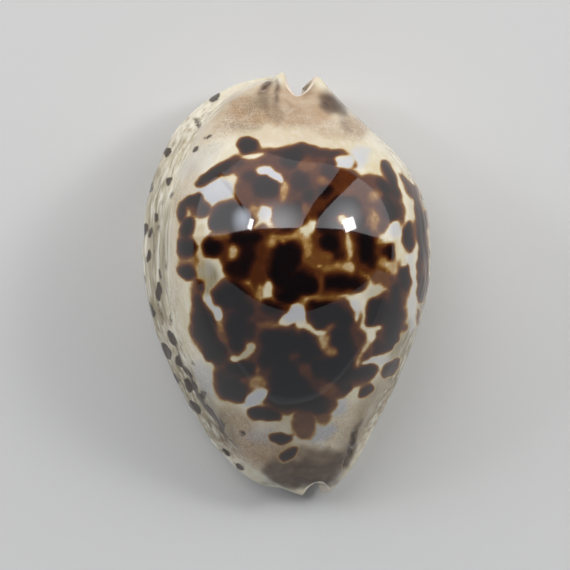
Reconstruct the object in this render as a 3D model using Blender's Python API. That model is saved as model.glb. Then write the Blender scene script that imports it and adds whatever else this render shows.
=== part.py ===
"""A Zoila jeaniana cowrie: one hollow shell, rolled round a slit that runs along its base.

Metres, +Z up. The back is up and the base is down. -Y is the front (anterior) end, +Y the rear
(posterior) end, -X the side of the outer lip and +X the side of the inner lip. The origin is on
the floor, under the middle of the shell.

The wall is a closed loop carried from the front end to the rear end: over the outer face, from
the outer lip round the back to the inner lip, and back round the hollow. The lines below run the
length of the shell, rails are worked out between them, and each loop is a smooth curve through
the rails.
"""

import bpy
import numpy as np

# The shell's own size in millimetres, and the size and the middle of the shell as its lines are drawn.
WIDTH = 54.4
LENGTH = 80.3
HEIGHT = 43.0
DRAWN_SIZE = (54.4, 80.3, 43.0)
DRAWN_MIDDLE = (-0.1, -0.15, 0.0)
MM = 0.001

# Lines on the outer face, from the front end to the rear end, as points x, y, z in millimetres.
OUTER_EDGE = (
    (0.4, -38.9, 4.6), (-3.3, -38.7, 4.9), (-7.0, -37.1, 5.4), (-12.0, -32.4, 6.4), (-18.0, -23.5, 7.8),
    (-23.7, -11.8, 9.2), (-26.8, 0.6, 10.0), (-26.9, 10.5, 10.3), (-24.9, 20.3, 10.3), (-20.8, 28.6, 10.1),
    (-14.4, 35.0, 9.6), (-8.0, 38.2, 8.8), (-3.4, 39.1, 7.9),
)
INNER_EDGE = (
    (8.8, -38.4, 4.8), (11.6, -35.7, 5.8), (15.0, -30.0, 8.1), (18.2, -23.7, 10.6), (23.1, -13.1, 14.2),
    (26.3, -2.5, 16.4), (27.1, 6.6, 17.2), (25.6, 16.2, 17.0), (21.5, 23.3, 15.8), (15.7, 29.2, 14.0),
    (10.1, 34.7, 12.2), (7.4, 37.7, 10.4),
)
CREST = (
    (5.6, -37.5, 10.2), (5.0, -34.0, 14.8), (3.8, -28.0, 22.2), (2.8, -20.0, 31.0), (2.3, -10.0, 38.6),
    (2.2, 0.0, 42.4), (2.2, 8.0, 43.0), (2.3, 16.0, 41.2), (2.5, 23.0, 35.9), (2.3, 28.5, 28.6),
    (2.1, 32.4, 22.2), (2.0, 35.3, 17.4),
)
OUTER_LIP = (
    (2.9, -38.9, 2.7), (0.2, -34.0, 2.0), (-3.3, -27.0, 1.4), (-6.1, -18.0, 1.1), (-7.7, -8.0, 0.9),
    (-7.8, 2.0, 0.9), (-6.5, 12.0, 1.0), (-4.4, 21.0, 1.4), (-2.4, 29.0, 2.1), (-1.4, 34.0, 3.0),
    (-1.3, 37.5, 3.8),
)
INNER_LIP = (
    (6.9, -39.1, 2.2), (5.8, -34.0, 1.9), (4.4, -27.0, 1.4), (2.6, -18.0, 1.2), (0.7, -8.0, 1.1),
    (-0.7, 2.0, 1.0), (-0.9, 12.0, 1.0), (0.4, 21.0, 1.3), (2.2, 29.0, 2.0), (3.3, 34.0, 2.9),
    (3.6, 36.9, 3.7),
)

# Lines along the two sides of the hollow, in the same way.
HOLLOW_OUTER_SIDE = (
    (3.4, -38.2, 6.4), (-0.6, -35.0, 7.6), (-5.0, -30.0, 9.4), (-10.0, -23.0, 11.2), (-15.6, -13.0, 12.8),
    (-20.0, -1.0, 13.8), (-21.4, 10.0, 14.2), (-19.0, 20.5, 14.0), (-13.0, 28.0, 13.4), (-7.2, 32.0, 12.8),
    (-3.2, 34.8, 12.2), (-0.5, 38.3, 11.8),
)
HOLLOW_INNER_SIDE = (
    (7.4, -38.2, 6.2), (8.6, -35.0, 7.6), (11.2, -29.0, 10.2), (15.4, -20.0, 13.4), (20.2, -9.0, 16.2),
    (23.5, 4.0, 18.0), (22.6, 14.0, 18.0), (18.0, 22.6, 16.8), (11.6, 28.8, 15.2), (7.4, 32.6, 13.8),
    (5.6, 35.4, 12.6), (4.9, 38.2, 11.9),
)

# The two rims, where the loops end: from the outer lip's foot up to a horn, down into the notch over the
# canal, up to the other horn and down to the inner lip's foot.
REAR_RIM = (
    (-0.5, 36.0, 9.0), (-0.4, 36.9, 6.4), (-0.9, 37.5, 4.6), (-2.2, 38.2, 4.0), (-3.0, 38.6, 4.5),
    (-3.6, 39.0, 5.7), (-3.9, 39.3, 7.5), (-3.2, 39.3, 9.0), (-2.5, 38.8, 10.4), (-0.8, 40.0, 13.3),
    (-0.3, 37.9, 15.2), (0.6, 36.0, 16.7), (2.0, 35.1, 17.3), (3.4, 35.7, 16.8), (4.7, 37.1, 15.4),
    (6.0, 39.0, 13.2), (6.8, 38.6, 11.9), (7.2, 38.1, 10.4), (7.3, 37.8, 8.8), (7.0, 37.7, 6.5),
    (6.3, 37.6, 5.0), (5.3, 37.5, 4.1), (3.6, 37.1, 4.5), (2.9, 36.9, 6.4), (3.4, 37.3, 9.0),
)
FRONT_RIM = (
    (3.6, -38.0, 6.2), (3.7, -38.6, 4.5), (3.1, -38.9, 3.2), (2.0, -38.9, 2.7), (1.3, -38.9, 2.9),
    (0.7, -38.9, 3.5), (0.4, -38.9, 4.7), (0.8, -38.9, 5.8), (1.6, -39.1, 6.7), (2.8, -40.3, 7.8),
    (3.3, -39.2, 8.9), (4.2, -38.2, 9.8), (5.6, -37.5, 10.2), (6.9, -37.5, 9.7), (7.6, -38.1, 8.7),
    (8.1, -38.6, 7.4), (8.4, -39.1, 6.3), (8.4, -39.6, 5.3), (8.3, -39.9, 4.5), (8.1, -40.0, 3.7),
    (7.8, -40.1, 3.1), (7.3, -40.1, 2.8), (6.4, -39.7, 3.0), (6.2, -39.0, 4.2), (6.5, -38.2, 5.6),
)
HOLLOW_REAR_RIM = (
    (-0.5, 36.3, 9.8), (-0.5, 36.9, 10.5), (-0.4, 37.5, 11.1), (-0.4, 38.1, 11.7), (-0.3, 38.7, 12.3),
    (-0.2, 39.1, 13.0), (0.8, 36.3, 15.9), (2.0, 35.4, 16.4), (3.3, 36.0, 15.9), (5.2, 38.9, 12.8),
    (4.7, 38.7, 12.1), (4.3, 38.4, 11.5), (3.9, 38.1, 10.9), (3.5, 37.8, 10.4), (3.2, 37.4, 9.8),
)
HOLLOW_FRONT_RIM = (
    (3.5, -38.1, 6.5), (3.5, -38.3, 6.7), (3.5, -38.5, 6.9), (3.5, -38.7, 7.1), (3.5, -38.9, 7.4),
    (3.6, -39.2, 7.9), (4.7, -38.3, 9.0), (5.6, -37.8, 9.3), (6.5, -37.9, 8.9), (7.3, -38.2, 7.9),
    (7.3, -38.3, 7.3), (7.2, -38.3, 7.1), (7.0, -38.2, 6.9), (6.9, -38.1, 6.6), (6.7, -38.0, 6.3),
)
FRONT_STRETCH = 0.12
REAR_STRETCH = 0.14
RIM_EASE = 2.4

# The back rises from each edge to the crest along a quarter oval, and the base falls from each edge to its
# lip along another. Rails lie at these angles of them, 0 at the edge. A fullness above nought swells the
# oval's shoulder, and one below nought thins it.
BACK_ANGLES = (38.0, 55.0, 72.0)
BASE_ANGLES = (66.0, 44.0, 22.0)
OUTER_FULLNESS = -0.14
INNER_FULLNESS = -0.02
BASE_FULLNESS = 0.32

# Each margin stands out as a rounded flange, with a furrow between it and the back.
SWELL_ANGLE = 11.0
FURROW_ANGLE = 24.0
FLANGE_SWELL = 0.45
FURROW_DEPTH = 0.8
OUTER_FLANGE = ((0.0, 0.2), (0.12, 0.7), (0.5, 1.0), (0.85, 1.2), (1.0, 0.2))
INNER_FLANGE = ((0.0, 0.1), (0.08, 0.7), (0.2, 0.8), (0.36, 0.1), (0.6, 0.0), (1.0, 0.0))

# Numbers that change along the shell, as pairs of share of the length and millimetres.
BASE_SAG = ((0.0, 0.0), (0.15, 0.7), (0.45, 1.35), (0.7, 1.3), (0.88, 0.6), (1.0, 0.0))
SAG_SHARES = (0.8, 1.0, 0.5)
LIP_REACH = ((0.0, 0.8), (0.2, 1.4), (0.5, 1.3), (0.75, 0.9), (1.0, 0.7))
LIP_DEPTH = ((0.0, 3.5), (0.15, 5.4), (0.4, 7.0), (0.7, 7.0), (0.9, 6.0), (1.0, 5.2))
LIP_FACE = 0.4
LIP_UNDERCUT = 0.8
RIB_WIDTH = ((0.0, 0.4), (0.15, 1.9), (0.4, 2.4), (0.75, 2.2), (0.9, 1.5), (1.0, 0.4))
FLOOR_HEIGHT = ((0.0, 3.6), (0.15, 4.0), (0.5, 4.6), (0.85, 4.6), (1.0, 5.5))
FLOOR_INSET = ((0.0, 0.4), (0.2, 3.2), (0.75, 3.2), (1.0, 0.4))
CREST_WALL = ((0.0, 0.9), (0.1, 1.9), (0.3, 2.4), (0.75, 2.5), (0.9, 2.2), (1.0, 0.9))

# Teeth: short ridges across both lips, one wave of ridges from the first share to the last. The outer lip's
# are even, and the inner lip's fade in the middle.
TEETH = 21
TEETH_FROM = 0.09
TEETH_TO = 0.93
TOOTH_HEIGHT = 0.55
OUTER_TEETH = ((0.0, 0.0), (0.09, 0.5), (0.25, 1.0), (0.8, 1.0), (0.93, 0.5), (1.0, 0.0))
INNER_TEETH = ((0.0, 0.0), (0.1, 0.8), (0.3, 1.0), (0.5, 0.35), (0.65, 0.3), (0.85, 0.8), (0.95, 0.4), (1.0, 0.0))
OUTER_TOOTH_SPAN = (0.3, 3.5)
INNER_TOOTH_SPAN = (0.3, 3.1)

# The rails of a loop of the outer face are numbered from the outer lip, and these lie outside the hollow's.
CREST_RAIL = 12
LAST_RAIL = 24
HALF_BACKING = (0, 3, 4, 5, 6, 9, 11)
BACKING = (*HALF_BACKING, CREST_RAIL, *(LAST_RAIL - rail for rail in HALF_BACKING[::-1]))
MIDDLE = 0.5

# Faces: shares of the length at which the loops lie, and pieces between one rail and the next.
FRONT_SHARES = (0.0, 0.02, 0.045, 0.07)
REAR_SHARES = (0.95, 0.97, 0.985, 1.0)
SIDE_PIECES = (2, 2, 3, 2, 2, 3, 2, 2, 2, 3, 3, 3)

ENAMEL_COLOUR = (0.60, 0.50, 0.36, 1.0)
ENAMEL_ROUGHNESS = 0.12
SHARP_ANGLE = 50.0
UP = np.array((0.0, 0.0, 1.0))


def spline(knots, values, at):
    """The smooth cubic through the values at the knots, straight at its ends, read at each place in `at`."""
    knots = np.asarray(knots, float)
    values = np.asarray(values, float).reshape(len(knots), -1)
    step = np.diff(knots)[:, None]
    middle = np.arange(1, len(knots) - 1)
    system = np.eye(len(knots))
    system[middle, middle - 1] = step[:-1, 0]
    system[middle, middle] = 2.0 * (step[:-1, 0] + step[1:, 0])
    system[middle, middle + 1] = step[1:, 0]
    turn = np.zeros_like(values)
    turn[1:-1] = 6.0 * np.diff(np.diff(values, axis=0) / step, axis=0)
    bend = np.linalg.solve(system, turn)
    at = np.asarray(at, float)
    span = np.clip(np.searchsorted(knots, at) - 1, 0, len(knots) - 2)
    ahead = (at - knots[span])[:, None]
    behind = (knots[span + 1] - at)[:, None]
    wide = step[span]
    return (
        (bend[span] * behind**3 + bend[span + 1] * ahead**3) / (6.0 * wide)
        + (values[span] / wide - bend[span] * wide / 6.0) * behind
        + (values[span + 1] / wide - bend[span + 1] * wide / 6.0) * ahead
    )


def along(points, share):
    """The smooth curve through the points, read at each share of its length, 0 at the front end."""
    points = np.asarray(points, float)
    reach = np.concatenate(([0.0], np.cumsum(np.linalg.norm(np.diff(points, axis=0), axis=1))))
    return spline(reach / reach[-1], points, share)


def level(pairs, share):
    """A number that changes smoothly along the shell, read at each share, as a column."""
    knots, values = zip(*pairs)
    return spline(knots, values, share)


def arc(edge, middle, angle, fullness):
    """The points at one angle of the quarter ovals that run from the edge, at 0 degrees, to the middle, at 90."""
    across, up = np.cos(np.radians(angle)), np.sin(np.radians(angle))
    points = middle + (edge - middle) * across
    points[:, 2] = edge[:, 2] + (middle[:, 2] - edge[:, 2]) * up * (1.0 + fullness * across**2)
    return points


def lip_end(lip, inward, share):
    """The line along the top of a lip's rib, inside the slit."""
    across = inward * (level(LIP_REACH, share) - LIP_UNDERCUT)
    return lip + across * (1.0, 0.0, 0.0) + level(LIP_DEPTH, share) * UP


def outer_side(edge, crest, lip, inward, fullness, flange, share):
    """The 12 rails of one side of the outer face, from the lip inside the slit up to just below the crest."""
    face = lip + inward * level(LIP_REACH, share) * (1.0, 0.0, 0.0) + LIP_FACE * level(LIP_DEPTH, share) * UP
    sag = level(BASE_SAG, share) * UP
    base = [arc(edge, lip, angle, BASE_FULLNESS) - sag * part for angle, part in zip(BASE_ANGLES, SAG_SHARES)]
    away = (edge - crest) * (1.0, 1.0, 0.0)
    away = away / np.linalg.norm(away, axis=1)[:, None] * level(flange, share)
    swell = arc(edge, crest, SWELL_ANGLE, fullness) + away * FLANGE_SWELL
    furrow = arc(edge, crest, FURROW_ANGLE, fullness) - away * FURROW_DEPTH
    back = [arc(edge, crest, angle, fullness) for angle in BACK_ANGLES]
    return [lip_end(lip, inward, share), face, lip, *base, edge, swell, furrow, *back]


def hollow_side(side, roof, lip, inward, fullness, share):
    """The 7 rails of one side of the hollow, from the lip's rib over the floor and up to just below the crest."""
    rib = lip_end(lip, inward, share) - inward * level(RIB_WIDTH, share) * (1.0, 0.0, 0.0)
    foot = lip - inward * level(FLOOR_INSET, share) * (1.0, 0.0, 0.0) + level(FLOOR_HEIGHT, share) * UP
    floor = [arc(side, foot, angle, BASE_FULLNESS) for angle in BASE_ANGLES]
    wall = [arc(side, roof, angle, fullness) for angle in (BACK_ANGLES[0], BACK_ANGLES[2])]
    return [rib, *floor, side, *wall]


def under_crest(share):
    """The line along the hollow's roof: the crest, moved in by the wall's thickness there."""
    nudge = 0.001
    slope = along(CREST, np.minimum(share + nudge, 1.0)) - along(CREST, np.maximum(share - nudge, 0.0))
    inward = np.stack((0.0 * share, slope[:, 2], -slope[:, 1]), axis=1)
    return along(CREST, share) + inward / np.linalg.norm(inward, axis=1)[:, None] * level(CREST_WALL, share)


def to_rims(rails, share, front_rim, rear_rim):
    """The rails, eased on to the points of the two rims over the last stretch at each end."""
    front = np.clip(1.0 - share / FRONT_STRETCH, 0.0, 1.0) ** RIM_EASE
    rear = np.clip((share - 1.0 + REAR_STRETCH) / REAR_STRETCH, 0.0, 1.0) ** RIM_EASE
    front_miss = np.asarray(front_rim) - rails[0]
    rear_miss = np.asarray(rear_rim) - rails[-1]
    return rails + front[:, None, None] * front_miss + rear[:, None, None] * rear_miss


def outer_rails(share):
    """The 25 rails of the outer face: an array by share, rail and axis."""
    crest = along(CREST, share)
    outer = (along(OUTER_EDGE, share), crest, along(OUTER_LIP, share), 1.0, OUTER_FULLNESS, OUTER_FLANGE)
    inner = (along(INNER_EDGE, share), crest, along(INNER_LIP, share), -1.0, INNER_FULLNESS, INNER_FLANGE)
    rails = [*outer_side(*outer, share), crest, *outer_side(*inner, share)[::-1]]
    return to_rims(np.stack(rails, axis=1), share, FRONT_RIM, REAR_RIM)


def hollow_rails(share):
    """The 15 rails of the hollow: an array by share, rail and axis."""
    roof = under_crest(share)
    outer = (along(HOLLOW_OUTER_SIDE, share), roof, along(OUTER_LIP, share), 1.0, OUTER_FULLNESS)
    inner = (along(HOLLOW_INNER_SIDE, share), roof, along(INNER_LIP, share), -1.0, INNER_FULLNESS)
    rails = [*hollow_side(*outer, share), roof, *hollow_side(*inner, share)[::-1]]
    return to_rims(np.stack(rails, axis=1), share, HOLLOW_FRONT_RIM, HOLLOW_REAR_RIM)


def sheet(rails, knots, places):
    """The grid of points where the smooth curves through the rails are read at each place round the loop."""
    rows = rails.transpose(1, 0, 2).reshape(len(knots), -1)
    return spline(knots, rows, places).reshape(len(places), -1, 3).transpose(1, 0, 2)


def normals(grid):
    """The outward unit normals of the outer face's grid, whose rows run rearwards and columns from -X to +X."""
    normal = np.cross(np.gradient(grid, axis=1), np.gradient(grid, axis=0))
    return normal / np.linalg.norm(normal, axis=2)[:, :, None]


def add_teeth(grid, share, rail):
    """The grid with both lips' teeth pushed out; `rail` says where each column lies among the rails."""
    turn = (share - TEETH_FROM) / (TEETH_TO - TEETH_FROM) * TEETH
    wave = np.where((turn >= 0.0) & (turn <= TEETH), 0.5 - 0.5 * np.cos(2.0 * np.pi * turn), 0.0)
    sides = ((rail, OUTER_TOOTH_SPAN, OUTER_TEETH), (LAST_RAIL - rail, INNER_TOOTH_SPAN, INNER_TEETH))
    lift = 0.0
    for rails_in, (low, high), teeth in sides:
        from_middle = np.clip((2.0 * rails_in - low - high) / (high - low), -1.0, 1.0)
        lift = lift + (wave * level(teeth, share)[:, 0])[:, None] * (1.0 - from_middle**4) ** 2
    return grid + normals(grid) * (TOOTH_HEIGHT * lift)[:, :, None]


def shell_points(share, rail):
    """The grids of the outer face and of the hollow, in metres, the hollow's at every second column.

    The base is worn flat where it meets the floor.
    """
    middle = outer_rails(np.array((MIDDLE,)))[0]
    knots = np.concatenate(([0.0], np.cumsum(np.linalg.norm(np.diff(middle, axis=0), axis=1))))
    places = np.interp(rail, np.arange(len(knots)), knots)
    outer = add_teeth(sheet(outer_rails(share), knots, places), share, rail)
    hollow = sheet(hollow_rails(share), knots[list(BACKING)], places[::2])
    outer[:, :, 2] = np.maximum(outer[:, :, 2], 0.0)
    scale = np.array((WIDTH, LENGTH, HEIGHT)) / DRAWN_SIZE * MM
    return (outer - DRAWN_MIDDLE) * scale, (hollow - DRAWN_MIDDLE) * scale


def shell_faces(rows, columns):
    """Faces of the closed wall: the outer face, the hollow, the tops of the two lips, and the two rims."""
    half = (columns + 1) // 2
    outer = np.arange(rows * columns).reshape(rows, columns)
    hollow = rows * columns + np.arange(rows * half).reshape(rows, half)

    def quads(grid):
        return np.stack((grid[:-1, :-1], grid[:-1, 1:], grid[1:, 1:], grid[1:, :-1]), axis=-1).reshape(-1, 4)

    faces = [*quads(outer), *quads(hollow)[:, ::-1]]
    faces += [*quads(np.stack((hollow[:, 0], outer[:, 0]), axis=1))]
    faces += [*quads(np.stack((outer[:, -1], hollow[:, -1]), axis=1))]
    for row, order in ((0, 1), (-1, -1)):
        edge, inside = outer[row], hollow[row]
        rim = np.stack((edge[2::2], edge[1:-1:2], edge[:-2:2], inside[:-1], inside[1:]), axis=1)
        faces += [*rim[:, ::order]]
    return [face.tolist() for face in faces]


def enamel():
    """Polished shell: cream, hard and glossy."""
    material = bpy.data.materials.new("enamel")
    material.use_nodes = True
    surface = material.node_tree.nodes["Principled BSDF"]
    surface.inputs["Base Color"].default_value = ENAMEL_COLOUR
    surface.inputs["Roughness"].default_value = ENAMEL_ROUGHNESS
    surface.inputs["Metallic"].default_value = 0.0
    return material


def build_shell(collection):
    """The cowrie, as one closed mesh."""
    teeth_shares = np.linspace(TEETH_FROM, TEETH_TO, 2 * TEETH + 1)
    share = np.concatenate((FRONT_SHARES, teeth_shares, REAR_SHARES))
    pieces = (*SIDE_PIECES, *SIDE_PIECES[::-1])
    steps = [first + np.arange(count) / count for first, count in enumerate(pieces)]
    rail = np.concatenate((*steps, [LAST_RAIL]))
    outer, hollow = shell_points(share, rail)
    mesh = bpy.data.meshes.new("shell")
    points = np.concatenate((outer.reshape(-1, 3), hollow.reshape(-1, 3)))
    mesh.from_pydata(points.tolist(), [], shell_faces(len(share), len(rail)))
    mesh.update()
    mesh.shade_smooth()
    mesh.set_sharp_from_angle(angle=np.radians(SHARP_ANGLE))
    mesh.materials.append(enamel())
    shell = bpy.data.objects.new("shell", mesh)
    collection.objects.link(shell)
    return shell


def main():
    for old in list(bpy.data.objects):
        bpy.data.objects.remove(old, do_unlink=True)
    collection = bpy.data.collections.new("cowrie")
    bpy.context.scene.collection.children.link(collection)
    build_shell(collection)


main()
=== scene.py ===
"""A Zoila jeaniana cowrie, back up on a pale floor, seen from straight above.

Metres, +Z up. -Y is the front (anterior) end, +Y the rear (posterior) end, -X the outer lip's side
and +X the inner lip's side.
"""

import bpy
import numpy as np
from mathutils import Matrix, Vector


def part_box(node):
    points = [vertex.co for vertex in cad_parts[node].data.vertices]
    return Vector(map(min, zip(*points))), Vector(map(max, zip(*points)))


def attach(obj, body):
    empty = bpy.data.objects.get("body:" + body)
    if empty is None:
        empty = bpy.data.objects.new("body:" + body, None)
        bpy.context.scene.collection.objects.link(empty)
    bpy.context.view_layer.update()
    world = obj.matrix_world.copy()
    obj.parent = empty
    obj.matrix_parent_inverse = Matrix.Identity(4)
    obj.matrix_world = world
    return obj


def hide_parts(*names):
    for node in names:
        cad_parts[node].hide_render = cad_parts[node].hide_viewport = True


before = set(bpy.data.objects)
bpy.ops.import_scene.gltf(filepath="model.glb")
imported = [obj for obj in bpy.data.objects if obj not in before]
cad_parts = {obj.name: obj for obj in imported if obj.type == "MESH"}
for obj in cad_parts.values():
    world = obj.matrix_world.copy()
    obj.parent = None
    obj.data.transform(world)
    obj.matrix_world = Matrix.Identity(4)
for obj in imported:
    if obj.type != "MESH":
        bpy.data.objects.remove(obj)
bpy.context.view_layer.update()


# Shell: its form.
# The whole shell is one piece of lime, laid down in layers by the animal's mantle as the last turn
# grew over the ones before it. The wall is a closed loop carried from the front end to the rear end:
# over the back and the base outside, and back round the hollow inside.

# Lines along the outer face, front end to rear end, as x, y, z in millimetres.
MM = 0.001
OUTER_EDGE = (
    (0.4, -38.9, 4.6), (-3.3, -38.7, 4.9), (-7.0, -37.1, 5.4), (-12.0, -32.4, 6.4), (-18.0, -23.5, 7.8),
    (-23.7, -11.8, 9.2), (-26.8, 0.6, 10.0), (-26.9, 10.5, 10.3), (-24.9, 20.3, 10.3), (-20.8, 28.6, 10.1),
    (-14.4, 35.0, 9.6), (-8.0, 38.2, 8.8), (-3.4, 39.1, 7.9),
)
INNER_EDGE = (
    (8.8, -38.4, 4.8), (11.6, -35.7, 5.8), (15.0, -30.0, 8.1), (18.2, -23.7, 10.6), (23.1, -13.1, 14.2),
    (26.3, -2.5, 16.4), (27.1, 6.6, 17.2), (25.6, 16.2, 17.0), (21.5, 23.3, 15.8), (15.7, 29.2, 14.0),
    (10.1, 34.7, 12.2), (7.4, 37.7, 10.4),
)
CREST = (
    (5.6, -37.5, 10.2), (5.0, -34.0, 14.8), (3.8, -28.0, 22.2), (2.8, -20.0, 31.0), (2.3, -10.0, 38.6),
    (2.2, 0.0, 42.4), (2.2, 8.0, 43.0), (2.3, 16.0, 41.2), (2.5, 23.0, 35.9), (2.3, 28.5, 28.6),
    (2.1, 32.4, 22.2), (2.0, 35.3, 17.4),
)
OUTER_LIP = (
    (2.9, -38.9, 2.7), (0.2, -34.0, 2.0), (-3.3, -27.0, 1.4), (-6.1, -18.0, 1.1), (-7.7, -8.0, 0.9),
    (-7.8, 2.0, 0.9), (-6.5, 12.0, 1.0), (-4.4, 21.0, 1.4), (-2.4, 29.0, 2.1), (-1.4, 34.0, 3.0),
    (-1.3, 37.5, 3.8),
)
INNER_LIP = (
    (6.9, -39.1, 2.2), (5.8, -34.0, 1.9), (4.4, -27.0, 1.4), (2.6, -18.0, 1.2), (0.7, -8.0, 1.1),
    (-0.7, 2.0, 1.0), (-0.9, 12.0, 1.0), (0.4, 21.0, 1.3), (2.2, 29.0, 2.0), (3.3, 34.0, 2.9),
    (3.6, 36.9, 3.7),
)

# Lines along the two sides of the hollow.
HOLLOW_OUTER_SIDE = (
    (3.4, -38.2, 6.4), (-0.6, -35.0, 7.6), (-5.0, -30.0, 9.4), (-10.0, -23.0, 11.2), (-15.6, -13.0, 12.8),
    (-20.0, -1.0, 13.8), (-21.4, 10.0, 14.2), (-19.0, 20.5, 14.0), (-13.0, 28.0, 13.4), (-7.2, 32.0, 12.8),
    (-3.2, 34.8, 12.2), (-0.5, 38.3, 11.8),
)
HOLLOW_INNER_SIDE = (
    (7.4, -38.2, 6.2), (8.6, -35.0, 7.6), (11.2, -29.0, 10.2), (15.4, -20.0, 13.4), (20.2, -9.0, 16.2),
    (23.5, 4.0, 18.0), (22.6, 14.0, 18.0), (18.0, 22.6, 16.8), (11.6, 28.8, 15.2), (7.4, 32.6, 13.8),
    (5.6, 35.4, 12.6), (4.9, 38.2, 11.9),
)

# Rims of the two notches, from the outer lip's foot over the horns and the canal to the inner lip's foot.
REAR_RIM = (
    (-0.5, 36.0, 9.0), (-0.4, 36.9, 6.4), (-0.9, 37.5, 4.6), (-2.2, 38.2, 4.0), (-3.0, 38.6, 4.5),
    (-3.6, 39.0, 5.7), (-3.9, 39.3, 7.5), (-3.2, 39.3, 9.0), (-2.5, 38.8, 10.4), (-0.8, 40.0, 13.3),
    (-0.3, 37.9, 15.2), (0.6, 36.0, 16.7), (2.0, 35.1, 17.3), (3.4, 35.7, 16.8), (4.7, 37.1, 15.4),
    (6.0, 39.0, 13.2), (6.8, 38.6, 11.9), (7.2, 38.1, 10.4), (7.3, 37.8, 8.8), (7.0, 37.7, 6.5),
    (6.3, 37.6, 5.0), (5.3, 37.5, 4.1), (3.6, 37.1, 4.5), (2.9, 36.9, 6.4), (3.4, 37.3, 9.0),
)
FRONT_RIM = (
    (3.6, -38.0, 6.2), (3.7, -38.6, 4.5), (3.1, -38.9, 3.2), (2.0, -38.9, 2.7), (1.3, -38.9, 2.9),
    (0.7, -38.9, 3.5), (0.4, -38.9, 4.7), (0.8, -38.9, 5.8), (1.6, -39.1, 6.7), (2.8, -40.3, 7.8),
    (3.3, -39.2, 8.9), (4.2, -38.2, 9.8), (5.6, -37.5, 10.2), (6.9, -37.5, 9.7), (7.6, -38.1, 8.7),
    (8.1, -38.6, 7.4), (8.4, -39.1, 6.3), (8.4, -39.6, 5.3), (8.3, -39.9, 4.5), (8.1, -40.0, 3.7),
    (7.8, -40.1, 3.1), (7.3, -40.1, 2.8), (6.4, -39.7, 3.0), (6.2, -39.0, 4.2), (6.5, -38.2, 5.6),
)
HOLLOW_REAR_RIM = (
    (-0.5, 36.3, 9.8), (-0.5, 36.9, 10.5), (-0.4, 37.5, 11.1), (-0.4, 38.1, 11.7), (-0.3, 38.7, 12.3),
    (-0.2, 39.1, 13.0), (0.8, 36.3, 15.9), (2.0, 35.4, 16.4), (3.3, 36.0, 15.9), (5.2, 38.9, 12.8),
    (4.7, 38.7, 12.1), (4.3, 38.4, 11.5), (3.9, 38.1, 10.9), (3.5, 37.8, 10.4), (3.2, 37.4, 9.8),
)
HOLLOW_FRONT_RIM = (
    (3.5, -38.1, 6.5), (3.5, -38.3, 6.7), (3.5, -38.5, 6.9), (3.5, -38.7, 7.1), (3.5, -38.9, 7.4),
    (3.6, -39.2, 7.9), (4.7, -38.3, 9.0), (5.6, -37.8, 9.3), (6.5, -37.9, 8.9), (7.3, -38.2, 7.9),
    (7.3, -38.3, 7.3), (7.2, -38.3, 7.1), (7.0, -38.2, 6.9), (6.9, -38.1, 6.6), (6.7, -38.0, 6.3),
)
FRONT_STRETCH, REAR_STRETCH, RIM_EASE = 0.12, 0.14, 2.4

# Angles at which rails lie on the quarter ovals of the back and the base, and how full the ovals are.
BACK_ANGLES = (38.0, 55.0, 72.0)
BASE_ANGLES = (66.0, 44.0, 22.0)
OUTER_FULLNESS, INNER_FULLNESS, BASE_FULLNESS = -0.14, -0.02, 0.32
SWELL_ANGLE, FURROW_ANGLE = 11.0, 24.0
FLANGE_SWELL, FURROW_DEPTH = 0.45, 0.8

# Numbers that change along the shell, as pairs of share of the length and value.
OUTER_FLANGE = ((0.0, 0.2), (0.12, 0.7), (0.5, 1.0), (0.85, 1.2), (1.0, 0.2))
INNER_FLANGE = ((0.0, 0.1), (0.08, 0.7), (0.2, 0.8), (0.36, 0.1), (0.6, 0.0), (1.0, 0.0))
BASE_SAG = ((0.0, 0.0), (0.15, 0.7), (0.45, 1.35), (0.7, 1.3), (0.88, 0.6), (1.0, 0.0))
LIP_REACH = ((0.0, 0.8), (0.2, 1.4), (0.5, 1.3), (0.75, 0.9), (1.0, 0.7))
LIP_DEPTH = ((0.0, 3.5), (0.15, 5.4), (0.4, 7.0), (0.7, 7.0), (0.9, 6.0), (1.0, 5.2))
RIB_WIDTH = ((0.0, 0.4), (0.15, 1.9), (0.4, 2.4), (0.75, 2.2), (0.9, 1.5), (1.0, 0.4))
FLOOR_HEIGHT = ((0.0, 3.6), (0.15, 4.0), (0.5, 4.6), (0.85, 4.6), (1.0, 5.5))
FLOOR_INSET = ((0.0, 0.4), (0.2, 3.2), (0.75, 3.2), (1.0, 0.4))
CREST_WALL = ((0.0, 0.9), (0.1, 1.9), (0.3, 2.4), (0.75, 2.5), (0.9, 2.2), (1.0, 0.9))
SAG_SHARES = (0.8, 1.0, 0.5)
LIP_FACE, LIP_UNDERCUT = 0.4, 0.8

CREST_RAIL, LAST_RAIL = 12, 24
HALF_BACKING = (0, 3, 4, 5, 6, 9, 11)
ACROSS, UP = np.array((1.0, 0.0, 0.0)), np.array((0.0, 0.0, 1.0))


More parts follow.
